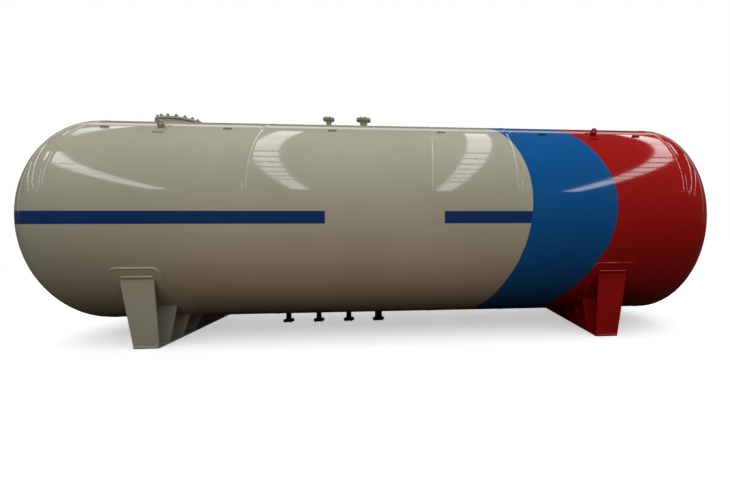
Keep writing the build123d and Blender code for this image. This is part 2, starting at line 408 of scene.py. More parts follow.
@dataclass(frozen=True)
class Clouds:
    """Soft noise, with the span of it that counts and the range that this span is carried to."""

    scale: float
    detail: float
    span: Pair
    carried: Pair

    def at(self, canvas: NodeCanvas, place: Socket) -> Socket:
        """The clouds' value at a place."""
        return canvas.ramp(canvas.noise(place, self.scale, self.detail), *self.span, *self.carried)


@dataclass(frozen=True)
class Grain:
    """Fine noise as a height, for bump."""

    scale: float
    height: float
    detail: float = 1

    def at(self, canvas: NodeCanvas, place: Socket) -> Socket:
        """The grain's height at a place."""
        return canvas.calc("MULTIPLY", canvas.noise(place, self.scale, self.detail), self.height)


@dataclass(frozen=True)
class PaintEdge:
    """A painted boundary round the tank.

    Its places along the tank are in radii, each at an angle in degrees above the middle.
    """

    low: float
    high: float
    places: tuple[Pair, ...]

    def points(self) -> list[Pair]:
        """The curve's points, both ways between 0 and 1."""
        reach = self.high - self.low
        return [((angle + 90) / 180, (place - self.low) / reach) for angle, place in self.places]


CREAM_TO_BLUE = PaintEdge(
    low=0.7,
    high=1.4,
    places=(
        (-90, 0.755), (-64, 0.880), (-49, 0.998), (-35.4, 1.099), (-20.4, 1.200), (-7.6, 1.260),
        (4.5, 1.289), (17, 1.290), (31.7, 1.251), (44.3, 1.190), (53.2, 1.140), (90, 0.880),
    ),
)
BLUE_TO_RED = PaintEdge(
    low=1.5,
    high=2.2,
    places=(
        (-90, 1.510), (-50.4, 1.690), (-42.7, 1.762), (-30.6, 1.872), (-20.8, 1.950), (-12, 2.017),
        (-3.6, 2.052), (6, 2.074), (17.5, 2.064), (32.3, 1.996), (45.5, 1.913), (55, 1.844), (90, 1.590),
    ),
)


@dataclass(frozen=True)
class TankEnamel:
    """Gloss enamel in cream, blue and red bands with a navy stripe, placed by Object coordinates."""

    cream: Colour = (0.42, 0.405, 0.305, 1)
    blue: Colour = (0.003, 0.095, 0.30, 1)
    red: Colour = (0.38, 0.007, 0.006, 1)
    navy: Colour = (0.006, 0.036, 0.155, 1)
    dust: Colour = (0.36, 0.33, 0.27, 1)
    stripe_half_height: float = 0.075
    stripe_gap_half_length: float = 0.71
    line_softness: float = 0.006
    coat_roughness: float = 0.07
    gloss: Clouds = Clouds(3, 4, (0.3, 0.7), (0.29, 0.39))
    tone: Clouds = Clouds(0.9, 4, (0.3, 0.7), (0.955, 1.03))
    speck: Clouds = Clouds(40, 3, (0.35, 0.65), (0.985, 1.01))
    dust_film: Clouds = Clouds(6, 5, (0.45, 0.8), (0, 0.012))
    plate_waves: Grain = Grain(1.3, 0.004)
    paint_skin: Grain = Grain(160, 0.000012)
    weld_pull_reach: float = 0.16
    weld_pull_depth: float = 0.0011

    def build(self) -> Material:
        """Make the material.

        Returns:
            The enamel.
        """
        material, canvas = new_material("tank_enamel")
        place = canvas.add("ShaderNodeTexCoord").outputs["Object"]
        axes = canvas.add("ShaderNodeSeparateXYZ", {0: place}).outputs
        height = canvas.calc("SUBTRACT", axes[2], FORM.axis_height)
        across = canvas.calc("ABSOLUTE", axes[1])
        angle = canvas.calc("ARCTAN2", height, across)
        turn = canvas.calc("MULTIPLY_ADD", angle, 1 / math.pi, 0.5)
        paint = canvas.blend(self.stripe(canvas, axes[0], height), self.cream, self.navy)
        paint = canvas.blend(self.past_edge(canvas, axes[0], turn, CREAM_TO_BLUE), paint, self.blue)
        paint = canvas.blend(self.past_edge(canvas, axes[0], turn, BLUE_TO_RED), paint, self.red)
        canvas.surface({
            "Base Color": self.weather(canvas, place, paint),
            "Roughness": self.gloss.at(canvas, place),
            "Specular IOR Level": 0.0,
            "Coat Weight": 1.0,
            "Coat Roughness": self.coat_roughness,
            "Normal": self.relief(canvas, place, axes[0]),
        })
        return material

    def past_edge(self, canvas: NodeCanvas, along: Socket, turn: Socket, edge: PaintEdge) -> Socket:
        """Share of the colour that starts at a painted boundary.

        Args:
            canvas: the material's canvas.
            along: place along the tank.
            turn: angle above the middle, from 0 below to 1 on top.
            edge: the boundary.

        Returns:
            0 before the boundary and 1 past it.
        """
        level = canvas.curve(turn, edge.points())
        reach = (edge.high - edge.low) * FORM.radius
        border = canvas.calc("MULTIPLY_ADD", level, reach, edge.low * FORM.radius)
        return canvas.soft_step(canvas.calc("SUBTRACT", along, border), self.line_softness)

    def stripe(self, canvas: NodeCanvas, along: Socket, height: Socket) -> Socket:
        """Share of the navy stripe, which leaves the middle of the tank bare.

        Args:
            canvas: the material's canvas.
            along: place along the tank.
            height: height above its axis.

        Returns:
            1 on the stripe and 0 elsewhere.
        """
        inset = canvas.calc("SUBTRACT", self.stripe_half_height, canvas.calc("ABSOLUTE", height))
        outset = canvas.calc("SUBTRACT", canvas.calc("ABSOLUTE", along), self.stripe_gap_half_length)
        on_band = canvas.soft_step(inset, self.line_softness)
        return canvas.calc("MULTIPLY", on_band, canvas.soft_step(outset, self.line_softness))

    def weather(self, canvas: NodeCanvas, place: Socket, paint: Socket) -> Socket:
        """Add uneven spray and a film of dust.

        Args:
            canvas: the material's canvas.
            place: the Object coordinates.
            paint: the colour of the paint.

        Returns:
            The weathered colour.
        """
        tone = canvas.calc("MULTIPLY", self.tone.at(canvas, place), self.speck.at(canvas, place))
        hue = canvas.add("ShaderNodeHueSaturation", {"Value": tone, "Color": paint}).outputs[0]
        return canvas.blend(self.dust_film.at(canvas, place), hue, self.dust)

    def relief(self, canvas: NodeCanvas, place: Socket, along: Socket) -> Socket:
        """Bump of the plates: waves, the pull of the girth welds and the paint's own skin.

        Args:
            canvas: the material's canvas.
            place: the Object coordinates.
            along: place along the tank.

        Returns:
            The normal.
        """
        seams = FORM.seams()
        nearest = canvas.calc("ABSOLUTE", canvas.calc("SUBTRACT", along, seams[0]))
        for seam in seams[1:]:
            gap = canvas.calc("ABSOLUTE", canvas.calc("SUBTRACT", along, seam))
            nearest = canvas.calc("MINIMUM", nearest, gap)
        pull = canvas.ramp(nearest, 0, self.weld_pull_reach, -self.weld_pull_depth, 0)
        waved = canvas.calc("ADD", pull, self.plate_waves.at(canvas, place))
        return canvas.bump(canvas.calc("ADD", waved, self.paint_skin.at(canvas, place)))


@dataclass(frozen=True)
class PlainFinish:
    """A finish of one colour with clouded tone, uneven gloss and a fine grain."""

    name: str
    colour: Colour
    shade: Colour
    roughness: float
    metallic: float = 0
    cloud_scale: float = 25
    gloss_swing: float = 0.08
    grain: Grain = Grain(500, 0.00004, 2)

    def build(self) -> Material:
        """Make the material.

        Returns:
            The finish.
        """
        material, canvas = new_material(self.name)
        place = canvas.add("ShaderNodeTexCoord").outputs["Object"]
        tone = Clouds(self.cloud_scale, 4, (0.35, 0.65), (0, 1))
        gloss_range = (self.roughness - self.gloss_swing, self.roughness + self.gloss_swing)
        gloss = Clouds(self.cloud_scale * 2, 3, (0.3, 0.7), gloss_range)
        canvas.surface({
            "Base Color": canvas.blend(tone.at(canvas, place), self.shade, self.colour),
            "Roughness": gloss.at(canvas, place),
            "Metallic": self.metallic,
            "Normal": canvas.bump(self.grain.at(canvas, place)),
        })
        return material


DARK_PAINT = PlainFinish("dark_paint_skin", (0.020, 0.019, 0.020, 1), (0.012, 0.011, 0.012, 1), 0.42)
FASTENER = PlainFinish(
    "fastener_zinc", (0.40, 0.39, 0.35, 1), (0.28, 0.27, 0.24, 1), 0.45, metallic=0.2, cloud_scale=90
)
GASKET_SHEET = PlainFinish("gasket_sheet", (0.030, 0.028, 0.026, 1), (0.018, 0.017, 0.016, 1), 0.8)


@dataclass(frozen=True)
class Paintbox:
    """Every finish of the tank, made once."""

    enamel: Material
    dark: Material
    fastener: Material
    gasket: Material


# Fasteners


@dataclass(frozen=True)
class BoltSize:
    """A stud with its nut and washer."""

    thread: float
    across_flats: float
    nut_height: float
    washer: float
    washer_thickness: float
    spare_thread: float


M24 = BoltSize(0.024, 0.036, 0.0215, 0.044, 0.004, 0.010)
M12 = BoltSize(0.012, 0.018, 0.0100, 0.022, 0.002, 0.003)


class BoltSet:
    """Nuts, washers and stud ends, made as one mesh."""

    NUT_SIDES = 6
    NUT_EDGE_SHARE = 0.06
    WASHER_SIDES = 20
    WASHER_EDGE = 0.0005
    STUD_SIDES = 14
    STUD_EDGE = 0.0015

    def __init__(self, seed: int) -> None:
        """Start with no bolts and a seed for the turn of each nut."""
        self.mesh = bmesh.new()
        self.turns = random.Random(seed)

    def barrel(
        self, place: Matrix, diameter: float, start: float, height: float, sides: int, edge: float
    ) -> None:
        """Add a short prism or cylinder with broken rims.

        Args:
            place: the bolt's own frame, its Z pointing away from the flange.
            diameter: across its corners.
            start: where it starts on that Z.
            height: its length.
            sides: its number of sides.
            edge: width of the broken rims.
        """
        made = bmesh.ops.create_cone(
            self.mesh,
            cap_ends=True,
            segments=sides,
            radius1=diameter / 2,
            radius2=diameter / 2,
            depth=height,
            matrix=place @ Matrix.Translation((0, 0, start + height / 2)),
        )
        caps = {face for vert in made["verts"] for face in vert.link_faces if len(face.verts) == sides}
        break_edges(self.mesh, list({rim for face in caps for rim in face.edges}), edge)

    def fit(self, foot: Vector, side: int, size: BoltSize) -> None:
        """Put a nut on its washer, with the end of the stud.

        Args:
            foot: where the bolt's axis leaves the flange.
            side: 1 when it points up and -1 when it points down.
            size: the bolt's sizes.
        """
        turn = Matrix.Rotation(self.turns.uniform(0, math.tau), 4, "Z")
        flip = Matrix.Rotation(0 if side > 0 else math.pi, 4, "X")
        place = Matrix.Translation(foot) @ flip @ turn
        corners = size.across_flats / math.cos(math.pi / self.NUT_SIDES)
        nut_edge = size.across_flats * self.NUT_EDGE_SHARE
        nut_start = size.washer_thickness
        stud_length = nut_start + size.nut_height + size.spare_thread
        self.barrel(place, size.washer, 0, nut_start, self.WASHER_SIDES, self.WASHER_EDGE)
        self.barrel(place, corners, nut_start, size.nut_height, self.NUT_SIDES, nut_edge)
        self.barrel(place, size.thread, 0, stud_length, self.STUD_SIDES, self.STUD_EDGE)

    def circle(
        self, centre: Vector, diameter: float, count: int, side: int, size: BoltSize, offset: bool
    ) -> None:
        """Fit a whole bolt circle.

        Args:
            centre: the circle's middle, on the face that the nuts sit on.
            diameter: the circle's diameter.
            count: how many bolts.
            side: 1 when they point up and -1 when they point down.
            size: the bolts' sizes.
            offset: whether the first bolt stands half a step round.
        """
        first = math.pi / count if offset else 0
        for foot in ring_points(centre, diameter / 2, count, first):
            self.fit(foot, side, size)

    def finish(self, name: str, material: Material) -> None:
        """Make the bolts a piece.

        Args:
            name: the piece's name.
            material: its finish.
        """
        bmesh.ops.recalc_face_normals(self.mesh, faces=self.mesh.faces)
        shade_by_angle(self.mesh)
        add_piece(name, self.mesh, material)


# Sub-assemblies


@dataclass
class Assembly:
    """A sub-assembly, dressed from one paintbox."""

    paints: Paintbox


@dataclass
class TankShell(Assembly):
    """The four shell courses and two heads, with their welded seams."""

    bead_width: float = 0.070
    bead_height: float = 0.0034
    bead_sunk: float = 0.0003
    bead_points: int = 13
    ring_steps: int = 288
    shade_limit: float = math.radians(60)
    long_seam_degrees: tuple[float, ...] = (40, 112, 40, 112)

    def build(self) -> None:
        """Dress the plates and lay the seams."""
        for number in COURSES:
            dress_node(f"shell_course_{number}", self.paints.enamel)
        for end in End:
            dress_node(f"{end.label}_head", self.paints.enamel)
        self.girth_seams()
        self.course_seams()

    def bead_outline(self) -> list[Pair]:
        """A low arched outline, as places across the seam and heights over the shell."""
        shares = [2 * step / (self.bead_points - 1) - 1 for step in range(self.bead_points)]
        return [
            (share * self.bead_width / 2, self.bead_height * (1 - share ** 2) - self.bead_sunk)
            for share in shares
        ]

    def girth_seams(self) -> None:
        """Spin one bead round the tank at each girth seam."""
        bm = bmesh.new()
        axis = Vector((0, 0, FORM.axis_height))
        for seam in FORM.seams():
            points = [FORM.on_shell(seam + across, 0, lift) for across, lift in self.bead_outline()]
            verts = [bm.verts.new(point) for point in points]
            edges = [bm.edges.new(pair) for pair in zip(verts, verts[1:] + verts[:1])]
            bmesh.ops.spin(
                bm,
                geom=verts + edges,
                cent=axis,
                axis=ALONG,
                angle=math.tau,
                steps=self.ring_steps,
                use_merge=True,
                use_duplicate=False,
            )
        self.finish(bm, "girth_welds")

    def course_seams(self) -> None:
        """Lay the straight seam of each course, away from its neighbours' seams."""
        bm = bmesh.new()
        lift = Matrix.Translation((0, 0, FORM.axis_height))
        for number, degrees in zip(COURSES, self.long_seam_degrees):
            low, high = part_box(f"shell_course_{number}")
            place = lift @ Matrix.Rotation(-math.radians(degrees), 4, ALONG)
            points = [Vector((low.x, across, FORM.radius + rise)) for across, rise in self.bead_outline()]
            face = bm.faces.new([bm.verts.new(place @ point) for point in points])
            pushed = bmesh.ops.extrude_face_region(bm, geom=[face], use_keep_orig=True)
            moved = [item for item in pushed["geom"] if isinstance(item, bmesh.types.BMVert)]
            bmesh.ops.translate(bm, verts=moved, vec=ALONG * (high.x - low.x))
        self.finish(bm, "course_welds")

    def finish(self, bm: bmesh.types.BMesh, name: str) -> None:
        """Make seam beads a piece.

        Args:
            bm: the beads' mesh.
            name: the piece's name.
        """
        bmesh.ops.recalc_face_normals(bm, faces=bm.faces)
        shade_by_angle(bm, self.shade_limit)
        add_piece(name, bm, self.paints.enamel)


@dataclass
class Saddle(Assembly):
    """One plate saddle with its wear pad, edges broken and welds laid."""

    end: End
    plate_edge: float = 0.004
    fillet: float = 0.018
    foot_fillet: float = 0.012
    inner_fillet: float = 0.007
    rib_corner_cut: float = 0.025
    end_rib_thickness: float = 0.020
    pad_lift: float = 0.0143
    pad_bead_lift: float = 0.001
    pad_half_angle: float = math.radians(65)
    pad_corner: float = 0.075
    corner_steps: int = 6
    side_steps: int = 40
    rib_half_angle: float = math.radians(60)
    rib_arc_steps: int = 30
    weld_rise: float = 0.006
    parts: tuple[str, ...] = ("base_plate", "web", "end_ribs", "inner_ribs", "wear_pad")

    def build(self) -> None:
        """Copy the plates with broken edges and lay the welds."""
        for part in self.parts:
            node = f"{self.end.label}_saddle_{part}"
            eased_copy(node, self.paints.enamel, self.plate_edge, f"{node}_plates")
        welds = WeldRun()
        self.weld_pad(welds)
        self.weld_ribs(welds)
        self.weld_web(welds)
        welds.finish(f"{self.end.label}_saddle_welds", self.paints.enamel, self.end.slot)

    def corner_arc(self, along: float, arc: float, start: float) -> list[Pair]:
        """A quarter turn of the pad's corner, laid flat.

        Args:
            along: place of the corner's middle along the tank.
            arc: its arc length round the tank.
            start: the turn at which the corner starts.

        Returns:
            Its points, laid flat.
        """
        size = self.pad_corner
        turns = [start + math.pi / 2 * step / self.corner_steps for step in range(self.corner_steps + 1)]
        return [(along + size * math.cos(turn), arc + size * math.sin(turn)) for turn in turns]

    def weld_pad(self, welds: WeldRun) -> None:
        """Lay the bead all round the wear pad.

        Args:
            welds: the run that the bead joins.
        """
        low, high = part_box(f"{self.end.label}_saddle_wear_pad")
        reach = self.pad_half_angle * FORM.radius - self.pad_corner
        left, right = low.x + self.pad_corner, high.x - self.pad_corner
        arcs = [reach - 2 * reach * step / self.side_steps for step in range(1, self.side_steps)]
        outline = self.corner_arc(right, reach, 0) + self.corner_arc(left, reach, math.pi / 2)
        outline += [(low.x, arc) for arc in arcs]
        outline += self.corner_arc(left, -reach, math.pi) + self.corner_arc(right, -reach, 1.5 * math.pi)
        outline += [(high.x, -arc) for arc in arcs]
        lift = self.pad_bead_lift
        path = [FORM.on_shell(along, math.pi + arc / FORM.radius, lift) for along, arc in outline]
        welds.lay(path, self.fillet, closed=True)

    def weld_ribs(self, welds: WeldRun) -> None:
        """Lay the beads on top of the end ribs and along the sides of the base plate.

        Args:
            welds: the run that the beads join.
        """
        rib_low, rib_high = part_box(f"{self.end.label}_saddle_end_ribs")
        plate_low, plate_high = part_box(f"{self.end.label}_saddle_base_plate")
        outer, inner = (rib_low.x, rib_high.x) if self.end is End.LEFT else (rib_high.x, rib_low.x)
        outer -= self.end.value * self.rib_corner_cut
        inset = ALONG * self.foot_fillet
        for side in Side:
            turn = math.pi - side.value * (self.rib_half_angle + self.weld_rise)
            welds.lay([FORM.on_shell(along, turn, self.pad_lift) for along in (outer, inner)], self.fillet)
            foot = Vector((0, side.value * plate_high.y, plate_high.z))
            foot_ends = [foot + ALONG * plate_low.x + inset, foot + ALONG * plate_high.x - inset]
            welds.lay(foot_ends, self.foot_fillet)

    def weld_web(self, welds: WeldRun) -> None:
        """Lay the beads along both faces of the web, under the pad and on the base plate.

        Args:
            welds: the run that the beads join.
        """
        plate_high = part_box(f"{self.end.label}_saddle_base_plate")[1]
        reach = plate_high.y - 2 * self.end_rib_thickness
        steps = range(1 - self.rib_arc_steps, self.rib_arc_steps)
        turns = [math.pi + self.rib_half_angle * step / self.rib_arc_steps for step in steps]
        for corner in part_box(f"{self.end.label}_saddle_web"):
            arc = [FORM.on_shell(corner.x, turn, self.pad_lift) for turn in turns]
            welds.lay(arc, self.inner_fillet)
            foot_ends = [Vector((corner.x, across, plate_high.z)) for across in (-reach, reach)]
            welds.lay(foot_ends, self.inner_fillet)


@dataclass
class Manhole(Assembly):
    """The low manhole with its bolted cover."""

    edge: float = 0.003
    bolt_circle: float = 0.525
    bolt_count: int = 16
    bead: float = 0.010
    ring_steps: int = 96
    # Size and inset of a dark bead round the joint, which is painted shade of the gap under the cover.
    seal: float = 0.0075
    seal_inset: float = 0.004

    def build(self) -> None:
        """Dress the ring, gasket and cover, fit the bolts and paint the shade of the joint's gap with a
        dark bead.
        """
        for part in ("ring", "cover"):
            node = f"manhole_{part}"
            eased_copy(node, self.paints.enamel, self.edge, f"{node}_body")
        dress_node("manhole_gasket", self.paints.gasket)
        low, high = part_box("manhole_cover")
        centre = (low + high) / 2
        radius = (high.x - low.x) / 2
        bolts = BoltSet(seed=self.bolt_count)
        bolts.circle(Vector((centre.x, 0, high.z)), self.bolt_circle, self.bolt_count, 1, M24, False)
        bolts.finish("manhole_bolts", self.paints.fastener)
        welds = WeldRun()
        welds.lay_collar(centre, radius, 1, self.bead, self.ring_steps)
        welds.finish("manhole_weld", self.paints.enamel, Slot.CREAM)
        # Painted shade: a dark bead in the gasket's finish round the joint stands in for the shaded gap
        # between cover and ring.
        joint = WeldRun()
        path = ring_points(centre_of("manhole_gasket"), radius - self.seal_inset, self.ring_steps)
        joint.lay(path, self.seal, closed=True)
        joint.finish("manhole_gap_painted_shade", self.paints.gasket, Slot.GASKET)


@dataclass
class NozzleGroup(Assembly):
    """Flanged nozzles in a row, with their blind flanges, bolts and beads."""

    label: str
    side: int
    finish: Material
    slot: Slot
    fastener: Material
    bolt_circles: tuple[float, ...]
    necks: tuple[float, ...]
    flange_thickness: float
    bolt_count: int
    edge: float = 0.0015
    bead: float = 0.006
    bead_offset: float = 0.002

    def build(self) -> None:
        """Dress every nozzle and its blind, and fit bolts to both faces of their joint."""
        bolts, welds = BoltSet(seed=self.bolt_count), WeldRun()
        outer_corner = 1 if self.side > 0 else 0
        for number, (circle, neck) in enumerate(zip(self.bolt_circles, self.necks), start=1):
            nozzle, blind = f"{self.label}_nozzle_{number}", f"{self.label}_blind_{number}"
            for node in (nozzle, blind):
                eased_copy(node, self.finish, self.edge, f"{node}_body")
            centre = centre_of(blind)
            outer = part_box(blind)[outer_corner].z
            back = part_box(nozzle)[outer_corner].z - self.side * self.flange_thickness
            for height, way in ((outer, self.side), (back, -self.side)):
                bolts.circle(Vector((centre.x, 0, height)), circle, self.bolt_count, way, M12, True)
            welds.lay_collar(centre, neck / 2 + self.bead_offset, self.side, self.bead)
        bolts.finish(f"{self.label}_nozzle_bolts", self.fastener)
        welds.finish(f"{self.label}_nozzle_welds", self.paints.enamel, Slot.CREAM)


@dataclass
class NozzleRows(Assembly):
    """Both groups of nozzles with their gaskets."""

    crown_circles: tuple[float, ...] = (0.138, 0.182)
    crown_necks: tuple[float, ...] = (0.076, 0.108)
    crown_flange: float = 0.016
    crown_bolts: int = 8
    drain_circles: tuple[float, ...] = (0.130, 0.130, 0.130, 0.150)
    drain_necks: tuple[float, ...] = (0.076, 0.076, 0.076, 0.108)
    drain_flange: float = 0.014
    drain_bolts: int = 4

    def build(self) -> None:
        """Dress both groups and their gaskets."""
        paints = self.paints
        NozzleGroup(
            paints, "crown", 1, paints.enamel, Slot.CREAM, paints.fastener,
            self.crown_circles, self.crown_necks, self.crown_flange, self.crown_bolts,
        ).build()
        NozzleGroup(
            paints, "drain", -1, paints.dark, Slot.DARK, paints.dark,
            self.drain_circles, self.drain_necks, self.drain_flange, self.drain_bolts,
        ).build()
        dress_node("nozzle_gaskets", paints.gasket)


@dataclass
class LiftingLug(Assembly):
    """One lifting lug on its doubling pad."""

    end: End
    side: Side
    edge: float = 0.001
    bead: float = 0.004
    bead_steps: int = 8
    angle: float = math.radians(34.5)
    pad_half_width: float = 0.065
    pad_half_length: float = 0.125
    foot_half_width: float = 0.048
    half_thickness: float = 0.0125
    pad_lift: float = 0.0123

    def build(self, welds: WeldRun) -> None:
        """Dress the lug and its pad and lay their beads.

        Args:
            welds: the run that the beads join.
        """
        label = f"{self.end.label}_{self.side.label}"
        for node, name in (("lug_pad", "lug_pad_plate"), ("lifting_lug", "lug_plate")):
            eased_copy(f"{label}_{node}", self.paints.enamel, self.edge, f"{label}_{name}")
        along = centre_of(f"{label}_lifting_lug").x
        self.frame_bead(welds, along, self.pad_half_width, self.pad_half_length, 0)
        self.frame_bead(welds, along, self.foot_half_width, self.half_thickness, self.pad_lift)

    def frame_bead(
        self, welds: WeldRun, along: float, half_width: float, half_arc: float, lift: float
    ) -> None:
        """Lay a bead round a rectangle on the shell.

        Args:
            welds: the run that the bead joins.
            along: the rectangle's middle along the tank.
            half_width: half its size along the tank.
            half_arc: half its size round the tank.
            lift: how far outside the shell it lies.
        """
        middle = self.side.value * self.angle
        swing = half_arc / FORM.radius
        turns = [2 * swing * step / self.bead_steps - swing for step in range(self.bead_steps + 1)]
        path = [FORM.on_shell(along - half_width, middle + turn, lift) for turn in turns]
        path += [FORM.on_shell(along + half_width, middle - turn, lift) for turn in turns]
        welds.lay(path, self.bead, closed=True)


@dataclass
class ShoulderFittings(Assembly):
    """The lifting lugs and the bracket clips along both shoulders."""

    clip_edge: float = 0.002
    clip_angle: float = math.radians(34)
    clip_half_thickness: float = 0.004
    clip_bead: float = 0.006
    clip_gap: float = 0.2

    def build(self) -> None:
        """Dress lugs and clips."""
        for end in End:
            welds = WeldRun()
            for side in Side:
                LiftingLug(self.paints, end, side).build(welds)
            welds.finish(f"{end.label}_lug_welds", self.paints.enamel, end.slot)
        for side in Side:
            node = f"{side.label}_bracket_clips"
            self.weld_clips(side, node)
            eased_copy(node, self.paints.enamel, self.clip_edge, f"{node}_plates")

    def clip_spans(self, node: str) -> list[Pair]:
        """Where each clip of a row starts and ends along the tank.

        Args:
            node: the row's CAD node.

        Returns:
            The lower and upper bound of each clip.
        """
        places = sorted(vert.co.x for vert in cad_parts[node].data.vertices)
        spans = [[places[0], places[0]]]
        for place in places:
            if place - spans[-1][1] > self.clip_gap:
                spans.append([place, place])
            spans[-1][1] = place
        return [tuple(span) for span in spans]

    def weld_clips(self, side: Side, node: str) -> None:
        """Lay a bead along both faces of each clip.

        Args:
            side: the shoulder.
            node: its row of clips.
        """
        welds = WeldRun()
        swing = self.clip_half_thickness / FORM.radius
        for span in self.clip_spans(node):
            for turn in (self.clip_angle - swing, self.clip_angle + swing):
                welds.lay([FORM.on_shell(along, side.value * turn) for along in span], self.clip_bead)
        welds.finish(f"{side.label}_clip_welds", self.paints.enamel, Slot.CREAM)


# Studio


def area_lamp(name: str, place: Vector, size: Pair, radiance: float) -> bpy.types.Object:
    """Make a rectangular lamp that the camera doesn't see.

    Args:
        name: the lamp's name.
        place: its middle.
        size: its two sides.
        radiance: how bright its face is.

    Returns:
        The lamp's object, which shines down until it is turned.
    """
    lamp = bpy.data.lights.new(name, "AREA")
    lamp.shape = "RECTANGLE"
    lamp.size, lamp.size_y = size
    lamp.energy = radiance * math.pi * size[0] * size[1]
    holder = add_to_scene(name, lamp)
    holder.location = place
    holder.visible_camera = False
    return holder


@dataclass(frozen=True)
class SkylightStrip:
    """A long lamp high over the tank, cut by cross bars as a roof's skylight is.

    It starts behind the tank and ends on the camera's side.
    """

    name: str
    start: Pair
    finish: Pair
    dark_spans: tuple[Pair, ...] = ()
    height: float = 10.6
    width: float = 0.85
    near_radiance: float = 4.9
    far_radiance: float = 2.7
    near_place: float = -3.5
    far_place: float = 1.5

    def build(self) -> None:
        """Make the lamps, one for each lit length between the dark spans."""
        high = self.start[1]
        for number, (span_high, span_low) in enumerate(self.dark_spans):
            self.lamp(number, high, span_high)
            high = span_low
        self.lamp(len(self.dark_spans), high, self.finish[1])

    def point_at(self, across: float) -> Vector:
        """Point of the strip's middle line at a place across the tank."""
        share = (across - self.start[1]) / (self.finish[1] - self.start[1])
        return Vector((self.start[0] + share * (self.finish[0] - self.start[0]), across, self.height))

    def radiance_at(self, across: float) -> float:
        """Radiance at a place across the tank, less behind it than on the camera's side."""
        share = (across - self.near_place) / (self.far_place - self.near_place)
        return self.near_radiance + min(max(share, 0), 1) * (self.far_radiance - self.near_radiance)

    def lamp(self, number: int, high: float, low: float) -> None:
        """Make one lit length.

        Args:
            number: the length's number.
            high: its end farthest behind the tank.
            low: its other end.
        """
        run = self.point_at(low) - self.point_at(high)
        middle = (high + low) / 2
        size = (self.width, run.length)
        holder = area_lamp(f"{self.name}_{number}", self.point_at(middle), size, self.radiance_at(middle))
        holder.rotation_euler = (0, 0, math.atan2(run.y, run.x) - math.pi / 2)


def cross_bars(first: float, pitch: float, count: int, width: float) -> tuple[Pair, ...]:
    """Dark spans of evenly spaced bars across a skylight, from the first towards the camera."""
    places = [first - index * pitch for index in range(count)]
    return tuple((place + width / 2, place - width / 2) for place in places)


# No dark length: a dim lamp behind the tank meets a brighter one
LAMP_JOINT = ((0.9, 0.9),)

SKYLIGHTS = (
    SkylightStrip("skylight_1", (-23.0, 3.6), (-26.0, -15.0)),
    SkylightStrip("skylight_2", (-16.6, 3.6), (-19.0, -15.0)),
    SkylightStrip(
        "skylight_3", (-10.05, 5.9), (-12.4, -15.0),
        ((1.2, -2.9),) + cross_bars(first=-5.8, pitch=1.4, count=4, width=0.18),
        far_radiance=1.9, far_place=3.5,
    ),
    SkylightStrip(
        "skylight_4", (-3.85, 4.4), (-5.25, -14.8),
        LAMP_JOINT + cross_bars(first=-2.2, pitch=1.29, count=7, width=0.30),
    ),
    SkylightStrip(
        "skylight_5", (2.87, 4.9), (2.25, -15.1),
        LAMP_JOINT + cross_bars(first=-2.0, pitch=1.40, count=7, width=0.30),
    ),
    SkylightStrip(
        "skylight_6", (9.35, 6.2), (9.46, -15.3),
        LAMP_JOINT + cross_bars(first=-2.55, pitch=1.33, count=6, width=0.26),
        near_radiance=6.2, far_radiance=3.5,
    ),
    SkylightStrip("skylight_7", (16.0, 3.6), (16.4, -15.0)),
    SkylightStrip("skylight_8", (22.6, 3.6), (23.2, -15.0)),
)


@dataclass(frozen=True)
class SoftBox:
    """A large weak lamp that lights the paint and isn't mirrored in it."""

    name: str
    place: tuple[float, float, float]
    facing: tuple[float, float, float]
    size: Pair
    radiance: tuple[float, float, float]

    def build(self) -> None:
        """Make the lamp."""
        strength = max(self.radiance)
        holder = area_lamp(self.name, Vector(self.place), self.size, strength)
        holder.data.color = [part / strength for part in self.radiance]
        holder.rotation_euler = Vector(self.facing).to_track_quat("-Z", "Y").to_euler()
        holder.visible_glossy = False


SOFT_BOXES = (
    SoftBox("floor_bounce", (-0.5, -4.0, 0.02), (0, 0, 1), (5.0, 4.0), (0.53, 0.285, 0.175)),
    SoftBox("front_fill", (-4.5, -9.5, 3.5), (0, 1, 0), (5.0, 7.0), (0.31, 0.33, 0.22)),
)


@dataclass
class PhotoCamera:
    """The camera at the photograph's viewing angle."""

    place: tuple[float, float, float] = (0.256, -6.005, 1.453)
    yaw: float = math.radians(4.80)
    pitch: float = math.radians(-2.13)
    roll: float = math.radians(0.18)
    lens: float = 18.82
    sensor: float = 36
    shift_x: float = -0.1018
    sight: float = 200

    def build(self) -> None:
        """Make the camera and set it as the scene's own."""
        ahead = Vector((
            math.sin(self.yaw) * math.cos(self.pitch),
            math.cos(self.yaw) * math.cos(self.pitch),
            math.sin(self.pitch),
        ))
        level = Vector((math.cos(self.yaw), -math.sin(self.yaw), 0))
        down = ahead.cross(level)
        right = level * math.cos(self.roll) + down * math.sin(self.roll)
        under = down * math.cos(self.roll) - level * math.sin(self.roll)
        camera = bpy.data.cameras.new("photo_camera")
        camera.lens = self.lens
        camera.sensor_width = self.sensor
        camera.shift_x = self.shift_x
        camera.clip_end = self.sight
        holder = add_to_scene("photo_camera", camera)
        turn = Matrix((right, -under, -ahead)).transposed()
        holder.matrix_world = Matrix.Translation(self.place) @ turn.to_4x4()
        bpy.context.scene.camera = holder


